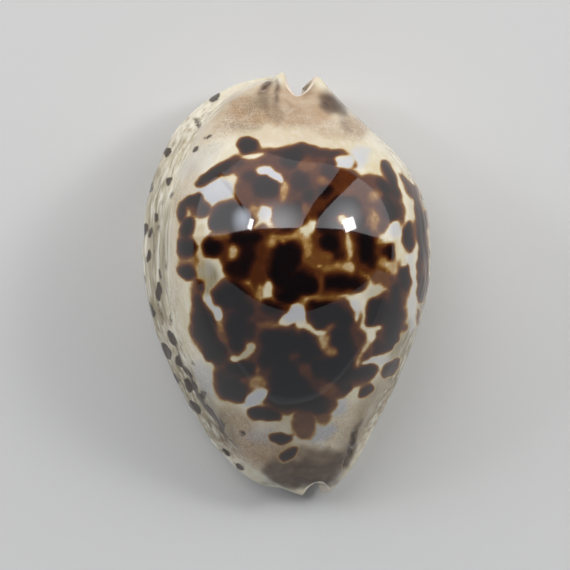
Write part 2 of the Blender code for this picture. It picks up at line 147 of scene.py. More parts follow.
def spline(knots, values, at):
    """The smooth cubic through the values at the knots, straight at its ends, read at each place."""
    knots = np.asarray(knots, float)
    values = np.asarray(values, float).reshape(len(knots), -1)
    step = np.diff(knots)[:, None]
    middle = np.arange(1, len(knots) - 1)
    system = np.eye(len(knots))
    system[middle, middle - 1] = step[:-1, 0]
    system[middle, middle] = 2.0 * (step[:-1, 0] + step[1:, 0])
    system[middle, middle + 1] = step[1:, 0]
    turn = np.zeros_like(values)
    turn[1:-1] = 6.0 * np.diff(np.diff(values, axis=0) / step, axis=0)
    bend = np.linalg.solve(system, turn)
    at = np.asarray(at, float)
    span = np.clip(np.searchsorted(knots, at) - 1, 0, len(knots) - 2)
    ahead, behind = (at - knots[span])[:, None], (knots[span + 1] - at)[:, None]
    wide = step[span]
    return (
        (bend[span] * behind**3 + bend[span + 1] * ahead**3) / (6.0 * wide)
        + (values[span] / wide - bend[span] * wide / 6.0) * behind
        + (values[span + 1] / wide - bend[span + 1] * wide / 6.0) * ahead
    )


def along(points, share):
    """The smooth curve through the points, read at each share of its length."""
    points = np.asarray(points, float)
    reach = np.concatenate(([0.0], np.cumsum(np.linalg.norm(np.diff(points, axis=0), axis=1))))
    return spline(reach / reach[-1], points, share)


def level(pairs, share):
    """A number that changes smoothly along the shell, as a column."""
    knots, values = zip(*pairs)
    return spline(knots, values, share)


def arc(edge, middle, angle, fullness):
    """Points at one angle of the quarter ovals from the edge, at 0 degrees, to the middle, at 90."""
    across, up = np.cos(np.radians(angle)), np.sin(np.radians(angle))
    points = middle + (edge - middle) * across
    points[:, 2] = edge[:, 2] + (middle[:, 2] - edge[:, 2]) * up * (1.0 + fullness * across**2)
    return points


def lip_end(lip, inward, share):
    """The line along the top of a lip's rib: the lip, moved into the slit and up."""
    return lip + inward * (level(LIP_REACH, share) - LIP_UNDERCUT) * ACROSS + level(LIP_DEPTH, share) * UP


def outer_side(edge, crest, lip, inward, fullness, flange, share):
    """The 12 rails of one side of the outer face: up the lip, over the base, the flange and the back."""
    face = lip + inward * level(LIP_REACH, share) * ACROSS + LIP_FACE * level(LIP_DEPTH, share) * UP
    sag = level(BASE_SAG, share) * UP
    base = [arc(edge, lip, angle, BASE_FULLNESS) - sag * part
            for angle, part in zip(BASE_ANGLES, SAG_SHARES)]
    away = (edge - crest) * (1.0, 1.0, 0.0)
    away = away / np.linalg.norm(away, axis=1)[:, None] * level(flange, share)
    swell = arc(edge, crest, SWELL_ANGLE, fullness) + away * FLANGE_SWELL
    furrow = arc(edge, crest, FURROW_ANGLE, fullness) - away * FURROW_DEPTH
    back = [arc(edge, crest, angle, fullness) for angle in BACK_ANGLES]
    return [lip_end(lip, inward, share), face, lip, *base, edge, swell, furrow, *back]


def hollow_side(side, roof, lip, inward, fullness, share):
    """The 7 rails of one side of the hollow: from the lip's rib over the floor and up under the back."""
    rib = lip_end(lip, inward, share) - inward * level(RIB_WIDTH, share) * ACROSS
    foot = lip - inward * level(FLOOR_INSET, share) * ACROSS + level(FLOOR_HEIGHT, share) * UP
    floor = [arc(side, foot, angle, BASE_FULLNESS) for angle in BASE_ANGLES]
    wall = [arc(side, roof, angle, fullness) for angle in (BACK_ANGLES[0], BACK_ANGLES[2])]
    return [rib, *floor, side, *wall]


def to_rims(rails, share, front_rim, rear_rim):
    """The rails, brought to the points of the two rims: each rail is moved by what it misses its point by,
    times the share that is left of the stretch at that end, to the power RIM_EASE."""
    front = np.clip(1.0 - share / FRONT_STRETCH, 0.0, 1.0) ** RIM_EASE
    rear = np.clip((share - 1.0 + REAR_STRETCH) / REAR_STRETCH, 0.0, 1.0) ** RIM_EASE
    ends = np.stack([each[0] for each in rails], axis=0), np.stack([each[-1] for each in rails], axis=0)
    front_miss, rear_miss = np.asarray(front_rim) - ends[0], np.asarray(rear_rim) - ends[1]
    return np.stack(rails, axis=1) + front[:, None, None] * front_miss + rear[:, None, None] * rear_miss


def outer_rails(share):
    """The 25 rails of the outer face, outer lip to inner lip; `share` runs from 0 to 1."""
    crest = along(CREST, share)
    outer = (along(OUTER_EDGE, share), crest, along(OUTER_LIP, share), 1.0, OUTER_FULLNESS, OUTER_FLANGE)
    inner = (along(INNER_EDGE, share), crest, along(INNER_LIP, share), -1.0, INNER_FULLNESS, INNER_FLANGE)
    rails = [*outer_side(*outer, share), crest, *outer_side(*inner, share)[::-1]]
    return to_rims(rails, share, FRONT_RIM, REAR_RIM)


def hollow_rails(share):
    """The 15 rails of the hollow, whose roof is the crest moved in by the wall's thickness."""
    slope = along(CREST, np.minimum(share + 0.001, 1.0)) - along(CREST, np.maximum(share - 0.001, 0.0))
    inward = np.stack((0.0 * share, slope[:, 2], -slope[:, 1]), axis=1)
    inward /= np.linalg.norm(inward, axis=1)[:, None]
    roof = along(CREST, share) + inward * level(CREST_WALL, share)
    outer = (along(HOLLOW_OUTER_SIDE, share), roof, along(OUTER_LIP, share), 1.0, OUTER_FULLNESS)
    inner = (along(HOLLOW_INNER_SIDE, share), roof, along(INNER_LIP, share), -1.0, INNER_FULLNESS)
    rails = [*hollow_side(*outer, share), roof, *hollow_side(*inner, share)[::-1]]
    return to_rims(rails, share, HOLLOW_FRONT_RIM, HOLLOW_REAR_RIM)


def sheet(rails, knots, places):
    """The grid of points where the smooth curves through the rails are read at each place round the loop."""
    rows = rails.transpose(1, 0, 2).reshape(len(knots), -1)
    return spline(knots, rows, places).reshape(len(places), -1, 3).transpose(1, 0, 2)


def unit_normals(grid):
    """Outward unit normals of a grid whose rows run rearwards and columns from -X to +X over the back."""
    normal = np.cross(np.gradient(grid, axis=1), np.gradient(grid, axis=0))
    return normal / np.linalg.norm(normal, axis=2)[:, :, None]


def ease(low, high, value):
    """0 below `low`, 1 above `high`, and a smooth step between them."""
    part = np.clip((value - low) / (high - low), 0.0, 1.0)
    return part * part * (3.0 - 2.0 * part)


def between(start, full, fading, gone, value):
    """0 up to `start` and past `gone`, 1 from `full` to `fading`, and smooth steps between them."""
    return ease(start, full, value) * (1.0 - ease(fading, gone, value))


# Rows of the grid lie closer together at both ends. SIDE_PIECES says into how many columns the grid is cut
# between one rail and the next, from a lip to the crest.
ROWS, END_SHARE, ROW_CROWDING = 212, 0.0042, 0.14
SIDE_PIECES = (5, 6, 12, 8, 8, 12, 16, 18, 18, 22, 22, 23)
steady = np.linspace(-1.0, 1.0, ROWS)
crowded = (1.0 - ROW_CROWDING) * steady + ROW_CROWDING * np.sin(0.5 * np.pi * steady)
share = 0.5 + (0.5 - END_SHARE) * crowded
pieces = (*SIDE_PIECES, *SIDE_PIECES[::-1])
rail = [first + np.arange(count) / count for first, count in enumerate(pieces)]
rail = np.concatenate((*rail, [LAST_RAIL]))
middle_rails = outer_rails(np.array((0.5,)))[0]
knots = np.concatenate(([0.0], np.cumsum(np.linalg.norm(np.diff(middle_rails, axis=0), axis=1))))
places = np.interp(rail, np.arange(len(knots)), knots)
backing = [*HALF_BACKING, CREST_RAIL, *(LAST_RAIL - each for each in HALF_BACKING[::-1])]
back = sheet(outer_rails(share), knots, places)

# Teeth: short rounded ridges across both lips, one wave for each from share TEETH_FROM to TEETH_TO, and
# between two rails. The outer lip's are even, and the inner lip's fade in the middle.
TEETH, TEETH_FROM, TEETH_TO, TOOTH_HEIGHT = 21, 0.09, 0.93, 0.55
OUTER_TOOTH_SPAN, INNER_TOOTH_SPAN = (0.3, 3.5), (0.3, 3.1)
OUTER_TEETH = ((0.0, 0.0), (0.09, 0.5), (0.25, 1.0), (0.8, 1.0), (0.93, 0.5), (1.0, 0.0))
INNER_TEETH = (
    (0.0, 0.0), (0.1, 0.8), (0.3, 1.0), (0.5, 0.35), (0.65, 0.3), (0.85, 0.8), (0.95, 0.4), (1.0, 0.0),
)
turn = (share - TEETH_FROM) / (TEETH_TO - TEETH_FROM) * TEETH
wave = np.where((turn >= 0.0) & (turn <= TEETH), 0.5 - 0.5 * np.cos(2.0 * np.pi * turn), 0.0)
lift = np.zeros(back.shape[:2])
both_lips = ((rail, OUTER_TOOTH_SPAN, OUTER_TEETH), (LAST_RAIL - rail, INNER_TOOTH_SPAN, INNER_TEETH))
for rails_in, (low, high), strength in both_lips:
    from_middle = np.clip((2.0 * rails_in - low - high) / (high - low), -1.0, 1.0)
    lift += TOOTH_HEIGHT * (wave * level(strength, share)[:, 0])[:, None] * (1.0 - from_middle**4) ** 2

# Growth on the margins: low wrinkles that run lengthwise over the flange, and slow swells of its edge. Both
# are sums of waves over the share S and the rail R, in mm, and half as high on the inner lip's side.
MARGIN_RAILS, FAR_MARGIN_RAILS = (3.6, 5.4, 8.2, 9.2), (3.6, 5.4, 7.2, 8.6)
WRINKLED_SHARES = (0.03, 0.16, 0.8, 0.94)
WRINKLE_HEIGHT, SWELL_HEIGHT = 0.1, 0.06
S, R = np.meshgrid(share, rail, indexing="ij")
margin = between(*MARGIN_RAILS, R) * between(*WRINKLED_SHARES, S)
far_margin = between(*FAR_MARGIN_RAILS, LAST_RAIL - R) * between(*WRINKLED_SHARES, S)
drift = 0.35 * np.sin(9.0 * S + 1.1) + 0.2 * np.sin(23.0 * S + 0.3)
wrinkle = np.sin(8.6 * (R + drift) + 3.0 * S) * (0.55 + 0.45 * np.sin(31.0 * S + 2.1 * R))
wrinkle += 0.6 * np.sin(14.3 * (R - 0.6 * drift) - 7.0 * S) * (0.5 + 0.5 * np.sin(47.0 * S - 1.7 * R))
swells = np.sin(52.0 * S + 0.8 * R) + 0.7 * np.sin(83.0 * S - 1.3 * R + 2.0) + 0.6 * np.sin(131.0 * S + 4.0)
lift += (margin + 0.5 * far_margin) * (WRINKLE_HEIGHT * wrinkle + SWELL_HEIGHT * swells)

# Small folds of both ends, on the upper side and clear of the rims: x and y of the two ends of each, half
# width and height, in mm. Each is a rounded ridge or groove along its line.
FOLDS = (
    (-4.5, 36.6, -3.1, 38.8, 0.45, -0.4), (-4.0, 37.2, -2.0, 38.6, 0.3, 0.28),
    (-2.4, 38.2, -2.7, 35.6, 0.4, -0.35), (-1.6, 39.2, -1.7, 35.4, 0.4, 0.15),
    (6.3, 37.6, 8.0, 36.6, 0.3, -0.18), (2.3, 34.6, 2.2, 32.6, 0.4, 0.16),
    (2.2, 32.6, 0.2, 31.2, 0.4, 0.16), (5.2, -29.7, 8.2, -30.3, 0.4, 0.16),
    (8.2, -30.3, 10.4, -31.9, 0.4, 0.18), (12.5, -28.0, 12.2, -31.3, 0.5, -0.5),
    (12.2, -31.3, 11.2, -34.4, 0.5, -0.5), (13.2, -27.6, 13.0, -31.2, 0.5, 0.3),
    (13.0, -31.2, 11.8, -34.6, 0.5, 0.3),
)
UPPER_RAILS, CLEAR_OF_RIMS = (5.6, 6.4, 17.6, 18.4), (0.0, 0.015, 0.985, 1.0)
upper = between(*UPPER_RAILS, R) * between(*CLEAR_OF_RIMS, S)
for x0, y0, x1, y1, half_width, height in FOLDS:
    run = np.array((x1 - x0, y1 - y0))
    from_start = back[:, :, :2] - (x0, y0)
    part = np.clip(from_start @ run / (run @ run), 0.0, 1.0)
    away = np.linalg.norm(from_start - part[:, :, None] * run, axis=2)
    lift += upper * height * np.exp(-(away / half_width) ** 2)
back = back + unit_normals(back) * lift[:, :, None]

# The hollow keeps every row near the rims, and one in HOLLOW_SKIP of the rest, which nothing shows.
NEAR_RIM, HOLLOW_SKIP = 9, 7
far_rim = ROWS - NEAR_RIM
inner_rows = (np.arange(NEAR_RIM), np.arange(NEAR_RIM, far_rim, HOLLOW_SKIP), np.arange(far_rim, ROWS))
inner_rows = np.concatenate(inner_rows)
hollow = sheet(hollow_rails(share[inner_rows]), knots[backing], places)

# The rims are rounded over between the two faces.
RIM_ROWS = 5
DRAWN_IN, DRAWN_FROM = 1.8, 0.96
ends = np.array((0.0, 1.0))
outer_ends = sheet(outer_rails(ends), knots, places)
hollow_ends = sheet(hollow_rails(ends), knots[backing], places)


def rounded_rim(outside, inside, outer_end, hollow_end, fullness):
    """Rows from the outer face to the hollow along half an oval. Its top lies midway between the two ends
    where `fullness` is 1, and nearer to or behind the two faces where it is less."""
    bend = np.linspace(0.0, np.pi, RIM_ROWS + 2)[1:-1, None, None]
    middle = (outside + inside) / 2.0
    top = fullness * ((outer_end + hollow_end) / 2.0 - middle)
    return middle + np.cos(bend) * (outside - inside) / 2.0 + np.sin(bend) * top


# The front rim is drawn in at its corner with the inner lip, so that it stays clear of the slit.
drawn_in = 1.0 - DRAWN_IN * ease(DRAWN_FROM, 1.0, np.linspace(0.0, 1.0, len(rail)))[:, None]
front_rim = rounded_rim(back[0], hollow[0], outer_ends[0], hollow_ends[0], drawn_in)
rear_rim = rounded_rim(back[-1], hollow[-1], outer_ends[1], hollow_ends[1], 1.0)
back[:, :, 2] = np.maximum(back[:, :, 2], 0.0)
columns = len(rail)
drawn = np.concatenate([grid.reshape(-1, 3) for grid in (back, hollow, front_rim, rear_rim)])

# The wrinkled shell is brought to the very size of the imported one, which has plain margins.
packed_low, packed_high = np.array(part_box("shell"))
drawn_low, drawn_high = drawn.min(axis=0), drawn.max(axis=0)
points = packed_low + (drawn - drawn_low) / (drawn_high - drawn_low) * (packed_high - packed_low)
outside = points[:ROWS * columns].reshape(ROWS, columns, 3) / MM


def quads(grid):
    """The four-cornered faces between the neighbouring rows and columns of a grid of point numbers."""
    return np.stack((grid[:-1, :-1], grid[:-1, 1:], grid[1:, 1:], grid[1:, :-1]), axis=-1).reshape(-1, 4)


# Faces of the outer face, the hollow and the two rims, and then those that close the two edges of the
# loop along the slit, where the hollow's rows are fewer.
numbers = np.arange(len(points)).reshape(-1, columns)
outer_ids = numbers[:ROWS]
hollow_ids = numbers[ROWS:ROWS + len(inner_rows)]
front_ids, rear_ids = numbers[-2 * RIM_ROWS:-RIM_ROWS], numbers[-RIM_ROWS:]
front_ids = np.concatenate((outer_ids[:1], front_ids, hollow_ids[:1]))
rear_ids = np.concatenate((outer_ids[-1:], rear_ids, hollow_ids[-1:]))
faces = [quads(outer_ids), quads(hollow_ids)[:, ::-1], quads(front_ids)[:, ::-1], quads(rear_ids)]
faces = np.concatenate(faces).tolist()
for first, last, low, high in zip(inner_rows[:-1], inner_rows[1:], hollow_ids[:-1], hollow_ids[1:]):
    outer_lip_side, inner_lip_side = outer_ids[first:last + 1, 0], outer_ids[first:last + 1, -1]
    faces.append(np.r_[high[0], low[0], outer_lip_side].tolist())
    faces.append(np.r_[low[-1], high[-1], inner_lip_side[::-1]].tolist())
rim_sides = (front_ids[::-1, 0], front_ids[:, -1], rear_ids[:, 0], rear_ids[::-1, -1])
faces += [side.tolist() for side in rim_sides]
mesh = bpy.data.meshes.new("shell enamel")
mesh.from_pydata(points.tolist(), [], faces)
mesh.update()
mesh.shade_smooth()


def put_in(name, data):
    """Puts a new object with this mesh, lamp or lens into the scene."""
    thing = bpy.data.objects.new(name, data)
    bpy.context.scene.collection.objects.link(thing)
    return thing


shell = put_in("cowrie_shell", mesh)
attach(shell, "root")
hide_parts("shell")


# Shell: its colours.
# The mantle laid dark brown blotches under clear enamel. They run together over the back, with cream
# lakes and amber seams between them, and small streaks lie along the margins. Some marks along the margins
# and at the ends are painted shade, and some bluish white is painted reflection.

# The camera's place over the shell, its lens and its sensor, in mm. Marks are drawn as it sees them, in
# 570ths of the picture's side: across, down, half width, half height, turn in degrees anticlockwise, and
# depth of colour. The first list is the brown that fills the spaces between the blotches.
EYE, EYE_HEIGHT, LENS, SENSOR, PICTURE = (-0.18, -0.04), 612.0, 200.0, 36.0, 570.0
BROWN_GROUND = (
    (262, 165, 34, 17, 0, 0.41), (300, 168, 44, 24, 0, 0.48), (330, 162, 28, 12, -5, 0.47),
    (258, 190, 24, 24, 0, 0.45), (300, 195, 34, 26, 0, 0.51), (340, 190, 26, 26, 0, 0.47),
    (368, 192, 26, 18, 0, 0.47), (388, 212, 16, 26, 0, 0.51), (232, 218, 24, 18, 0, 0.58),
    (290, 216, 20, 14, 0, 0.55), (342, 214, 28, 17, 0, 0.5), (374, 215, 14, 26, 0, 0.35),
    (243, 250, 26, 24, 0, 0.5), (262, 262, 16, 38, 0, 0.46), (290, 268, 28, 36, 0, 0.56),
    (330, 245, 22, 22, 0, 0.44), (322, 282, 46, 16, 0, 0.44), (352, 255, 14, 30, 0, 0.47),
    (368, 250, 17, 26, 0, 0.46), (384, 276, 17, 14, 0, 0.34), (398, 285, 12, 28, 0, 0.46),
    (232, 300, 24, 22, 0, 0.5), (262, 312, 34, 14, 0, 0.53), (206, 330, 16, 30, 14, 0.45),
    (238, 325, 20, 30, 0, 0.51), (246, 346, 26, 26, 0, 0.46), (236, 380, 24, 24, 0, 0.47),
    (285, 345, 34, 26, 0, 0.5), (290, 380, 32, 34, 0, 0.53), (330, 318, 32, 22, 0, 0.51),
    (338, 350, 34, 30, 0, 0.5), (320, 380, 34, 24, 0, 0.47), (350, 374, 28, 14, 12, 0.48),
    (384, 322, 16, 25, 0, 0.47), (386, 312, 20, 22, 0, 0.5), (316, 402, 22, 14, 0, 0.46),
    (304, 424, 13, 17, 8, 0.39), (322, 417, 9, 9, 0, 0.33), (197, 292, 7, 14, 4, 0.38),
    (189, 262, 12, 12, 0, 0.27), (200, 209, 11, 8, 20, 0.47), (186, 238, 8, 18, 0, 0.39),
    (222, 240, 14, 12, 0, 0.33), (290, 275, 108, 132, 0, 0.07), (201, 248, 9, 26, 0, 0.15),
    (202, 276, 8, 14, 0, 0.13), (393, 256, 12, 22, 0, 0.16), (222, 240, 14, 8, 0, 0.2),
    (403, 300, 6, 40, 0, 0.1), (286, 416, 8, 8, 0, 0.12), (372, 170, 12, 9, -30, 0.12),
)
BLOTCHES = (
    (248, 145, 10, 7.5, 0, 0.97), (203, 180, 9.4, 3.4, 35, 0.9), (216, 172, 11, 4.5, 38, 1),
    (227, 169, 4, 7, -15, 0.95), (238, 163, 7, 5, 0, 0.4), (181, 212, 3.4, 9.4, -10, 0.9),
    (190, 202, 6, 4, 15, 1), (199, 200, 3.9, 6.4, 0, 1), (204, 209, 5, 4, 20, 0.6),
    (188, 227, 5.5, 8.5, -8, 1), (186, 248, 8, 8.5, 0, 1), (187, 273, 8.5, 6.5, -20, 0.95),
    (200, 286, 2.4, 5.4, 0, 0.6), (199, 304, 4, 7, 15, 0.7), (203, 320, 9, 11, 5, 1),
    (207, 335, 9, 13, 20, 1), (214, 350, 10, 10, 30, 1), (220, 360, 6, 5, 30, 0.7),
    (233, 389, 12.5, 10.5, 0, 1), (224, 380, 5, 8, 20, 0.8), (241, 369, 13.5, 7.5, 8, 1),
    (244, 398, 6.5, 2.5, 0, 0.6), (231, 297, 15, 12, 0, 1), (244, 308, 8.5, 8.5, 0, 0.9),
    (237, 328, 9.5, 15.5, 0, 1), (236, 345, 6.5, 5.5, 0, 0.9), (250, 330, 5.5, 6.5, 0, 0.7),
    (272, 309, 8.5, 4.5, 0, 0.9), (284, 348, 20.5, 17.5, 0, 1), (270, 340, 8.5, 8.5, 0, 1),
    (268, 360, 8.5, 8.5, 0, 0.9), (287, 380, 16.5, 17.5, 0, 1), (285, 398, 14.5, 9.5, 0, 1),
    (305, 400, 14.5, 10.5, 0, 1), (300, 388, 8.5, 10.5, 0, 0.9), (318, 404, 10.5, 7.5, 0, 0.9),
    (306, 350, 8.5, 16.5, 0, 1), (320, 368, 10.5, 8.5, 0, 1), (313, 352, 8.5, 6.5, 0, 0.9),
    (343, 352, 11.5, 22.5, 0, 1), (338, 374, 13.5, 11.5, 0, 1), (345, 388, 4.5, 3.5, 0, 0.8),
    (330, 362, 8.5, 8.5, 0, 0.8), (362, 372, 14.5, 5.5, 8, 0.95), (366, 391, 6.5, 4, 42, 1),
    (387, 370, 3, 7.9, -28, 1), (394, 366, 3.6, 8.9, -28, 1), (263, 414, 16, 6.5, -5, 1),
    (281, 438, 10.5, 4, -2, 1), (288, 454, 9, 5, 30, 0.9), (381, 350, 9, 4, 20, 0.9),
    (382, 312, 12, 12, 0, 1), (371, 320, 4.5, 6.5, 0, 0.9), (393, 330, 6, 19, -8, 1),
    (396, 302, 4.5, 19, 0, 1), (377, 345, 4.5, 3.5, 0, 0.6), (328, 314, 17.5, 10.5, 0, 1),
    (344, 322, 6.5, 10.5, 0, 1), (318, 326, 6.5, 3.5, 0, 0.7), (340, 336, 7.5, 6.5, 0, 0.9),
    (404, 276, 5, 13, 8, 0.95), (409, 237, 4.5, 14, 0, 1), (366, 245, 8, 17, 0, 1),
    (372, 262, 4, 5, 0, 0.7), (391, 210, 6.5, 8.5, 0, 0.95), (387, 200, 4, 5, 20, 0.7),
    (278, 152, 10.4, 3.9, 8, 0.35), (292, 158, 10, 10, 0, 0.95), (303, 150, 8, 4, 0, 0.5),
    (322, 153, 15.4, 3.9, -4, 0.4), (338, 154, 8.4, 3.4, 0, 0.35), (309, 196, 6, 6, 0, 0.95),
    (325, 191, 6, 5, 10, 0.95), (330, 170, 8, 8, 0, 0.55), (265, 187, 13, 10, -15, 0.9),
    (250, 176, 6, 5, 0, 0.55), (300, 182, 8, 9, 0, 0.6), (384, 187, 4, 8, 40, 0.95),
    (389, 172, 3.9, 11.4, 22, 0.95), (395, 188, 2.9, 9.4, 25, 0.95), (340, 208, 13, 9, 10, 0.95),
    (352, 205, 9, 8, 0, 0.9), (325, 216, 8, 6, 20, 0.95), (330, 226, 13, 5, 0, 0.95),
    (358, 222, 5, 9, 0, 0.9), (287, 216, 11, 11, 0, 1), (298, 210, 5, 7, 0, 0.9), (245, 238, 17, 6, 0, 1),
    (232, 217, 16, 12, 0, 1), (217, 222, 7, 7, 0, 0.9), (212, 247, 8.5, 8.5, 0, 1),
    (247, 255, 8, 13, 0, 0.8), (238, 270, 12, 10, 0, 0.8), (286, 258, 14, 17, 0, 1),
    (280, 275, 10, 13, 0, 1), (298, 284, 16, 12, 0, 1), (288, 296, 11, 6, 0, 1), (330, 243, 9, 11, 0, 1),
    (338, 256, 5, 5, 0, 0.6), (341, 283, 16, 7.5, 0, 1), (326, 282, 5, 6, 0, 0.6), (310, 286, 8, 8, 0, 1),
    (357, 283, 5, 6, 0, 0.7), (318, 304, 10.5, 1.1, 0, 1), (283, 231, 12.4, 2, 0, 0.75),
    (407, 186, 2, 11.4, 25, 0.8), (417, 197, 1.7, 9.4, 22, 0.85), (419, 222, 2.8, 19.4, 3, 0.9),
    (423, 235, 3, 21.4, 0, 1), (421, 265, 2, 17.4, 0, 0.9), (427, 268, 1, 17.4, 0, 0.9),
    (421, 290, 3.4, 11.4, 0, 1), (418, 317, 1.7, 7.4, 0, 0.5), (405, 328, 3.4, 3.4, 0, 0.5),
    (262, 401, 4.5, 1.5, 0, 0.45), (389, 252, 6.5, 8.5, 0, 0.9),
)
# Lakes and seams, where the depth is brought down to the last number.
LAKES = (
    (265, 171, 8.2, 5.2, 0, 0), (275, 175, 9.2, 5.2, -35, 0), (284, 190, 5.7, 11.2, 0, 0.22),
    # The lake at (265, 213) is partly a painted highlight beside the left lamp's highlight.
    (265, 213, 6.2, 6.7, 0, 0.02), (255, 212, 5.2, 8.2, 20, 0.24), (228, 180, 5.7, 6.2, 0, 0.12),
    (272, 243, 4.7, 6.2, -35, 0.22), (280, 238, 7.2, 4.2, -30, 0.25), (292, 236, 9.2, 3.7, 0, 0.24),
    (302, 236, 9, 6, 0, 0.22), (307, 247, 6.4, 13, 0, 0.25), (317, 259, 15.5, 9.5, 0, 0.32),
    (332, 267, 10.2, 4.2, 8, 0.26), (349, 267, 7.2, 6.2, 0, 0.18), (349, 246, 3.8, 14, 0, 0.16),
    (342, 220, 6.7, 6.7, 0, 0.12), (233, 253, 5.7, 8.2, -12, 0.2), (268, 290, 5.7, 9.2, -10, 0.08),
    (260, 293, 4.2, 10.2, 10, 0.22), (306, 302, 6.2, 3.6, 38, 0.26), (318, 297, 9.2, 3, 5, 0.26),
    (335, 298, 10.2, 3, -2, 0.27), (350, 294, 8, 3, 25, 0.36), (297, 313, 8.5, 8.5, 0, 0),
    (288, 319, 7.2, 4.7, 0, 0.03), (271, 325, 13, 4, 8, 0.3), (288, 319, 9, 5, 15, 0.02),
    (305, 326, 8.2, 4, -30, 0.22), (321, 333, 6.5, 3.8, 0, 0.06), (329, 328, 6.5, 3.4, 45, 0.28),
    (326, 342, 4.6, 9, -30, 0.2), (331, 352, 7, 5.4, -30, 0.25), (356, 305, 5.4, 5, 0, 0),
    (356, 314, 3.2, 8, 0, 0.1), (375, 292, 8, 5.4, 20, 0.06), (366, 300, 5.5, 3.6, 20, 0.18),
    (369, 288, 4, 5, 0, 0.24), (374, 329, 9, 3.6, 12, 0.1), (372, 337, 4.6, 6.5, -12, 0.03),
    (365, 346, 3.6, 9, -36, 0.16), (358, 360, 3.6, 8, -8, 0.2), (372, 362, 10, 3, 8, 0.03),
    (383, 262, 6.7, 5.2, 20, 0.25), (394, 268, 5.7, 6.2, 0, 0.2), (374, 222, 5.7, 11.2, 0, 0.26),
    (375, 197, 6.7, 5.7, 0, 0.27), (322, 180, 6.2, 5.2, 0, 0.32), (307, 166, 9.2, 6.2, 0, 0.34),
    (306, 210, 5.2, 5.2, 0, 0.32), (250, 346, 5.2, 4.7, 0, 0.06), (247, 353, 6.2, 3.6, 40, 0.12),
    (235, 359, 5.2, 3.4, 0, 0.08), (217, 313, 5, 7.2, 10, 0), (211, 302, 3.8, 10.2, 22, 0.06),
    (221, 327, 4.2, 9.2, 14, 0.24), (328, 389, 9.2, 6.7, 15, 0.35), (306, 371, 8.2, 8.2, 0, 0.46),
    (294, 357, 6.2, 4.2, 0, 0.52), (345, 166, 9.2, 3.6, 5, 0.03), (348, 190, 8.2, 4.7, 15, 0.42),
    (257, 383, 9.2, 8.7, 0, 0.24), (243, 381, 5.2, 3.2, 0, 0.38), (222, 236, 10.2, 4.2, 0, 0.3),
    (262, 270, 4.2, 13.2, 0, 0.6), (321, 283, 3.2, 9.2, 0, 0.39), (388, 236, 8, 4.5, 20, 0.1),
    (257, 397, 12, 6.5, 18, 0), (300, 323, 6, 6.5, -30, 0.02), (386, 357, 10, 4, 25, 0),
    (398, 349, 7, 8, -40, 0), (394, 229, 6.5, 10, -12, 0.02), (398, 250, 3.6, 12, 0, 0.12),
    (391, 264, 7, 3.2, 10, 0.2), (381, 242, 5, 3.4, 30, 0.22), (243, 355, 2.8, 8, -56, 0.08),
    (224, 338, 3, 8, 20, 0.3), (404, 262, 5, 7, 0, 0.12), (345, 160, 10, 6, 0, 0.05),
    (311, 329, 8, 3.4, -25, 0.08), (251, 155.5, 11, 2.6, 0, 0.04), (322, 338, 4, 6, -20, 0.18),
    (345, 296, 8, 3, 20, 0.34),
)
# Small olive-brown streaks and spots along the margins, and three marks of painted shadow in the groove
# beside the inner lip's flange.
STREAKS_AND_SHADOW = (
    (246, 83, 6, 3, 20, 0.45), (215, 97, 6, 4, 30, 0.6), (197, 123, 4, 6, 20, 0.4),
    (209, 136, 5, 1.8, 40, 0.45), (195, 150, 4.5, 2, 35, 0.6), (167, 152, 3.5, 5, -25, 0.7),
    (168, 181, 2.5, 5.5, -20, 0.7), (151, 188, 2, 6, -12, 0.6), (172, 194, 2.2, 4, -10, 0.45),
    (163, 203, 2.5, 4, 0, 0.3), (155, 218, 2.5, 5, -8, 0.55), (145, 230, 2.6, 6, -5, 0.7),
    (151, 234, 2.2, 5.5, 0, 0.6), (160, 229, 2.5, 5.5, 0, 0.3), (149, 256, 2.4, 7.5, 0, 0.6),
    (167, 265, 2.5, 7, 0, 0.3), (143, 277, 1.8, 9, 0, 0.6), (160, 275, 2, 5, 0, 0.45),
    (159, 292, 2.6, 9.5, 5, 0.9), (152, 311, 2.2, 8, 8, 0.7), (171, 319, 2.2, 7, 8, 0.35),
    (172, 337, 2.5, 6.5, 18, 0.9), (166, 351, 3.4, 9, 24, 0.85), (179, 361, 2.5, 6.5, 24, 0.6),
    (193, 363, 2.2, 5, 28, 0.35), (188, 373, 2.2, 5.5, 28, 0.45), (176, 377, 2, 5, 26, 0.6),
    (188, 386, 3, 7, 30, 0.9), (195, 387, 2, 4, 30, 0.6), (203, 394, 4, 4, 30, 0.5),
    (195, 408, 3.4, 7, 34, 0.75), (210, 409, 3, 7.5, 38, 0.6), (222, 425, 2.5, 5, 36, 0.35),
    (233, 417, 2.5, 5, 36, 0.25), (225, 453, 2.6, 5.5, 42, 0.6), (241, 467, 2.6, 5, 45, 0.6),
    # The marks at (350, 449), (354, 431) and (346, 466) are painted shadow in the groove beside the inner
    # lip's flange.
    (243, 433, 4, 3.5, 0, 0.4), (350, 449, 3.4, 14, -24, 0.35), (354, 431, 3, 8, -24, 0.3),
    (346, 466, 3, 5, -20, 0.25), (176, 346, 1.6, 15, 21, 0.4), (186, 371, 1.8, 16, 28, 0.5),
    (200, 397, 1.8, 15, 33, 0.5), (216, 420, 2, 15, 37, 0.45), (228, 438, 2, 13, 40, 0.35),
    (161, 316, 1.5, 13, 9, 0.35), (171, 300, 1.4, 12, 3, 0.25), (183, 350, 1.4, 12, 20, 0.25),
    (155, 245, 1.4, 12, -2, 0.3), (163, 250, 1.4, 14, 0, 0.25),
)
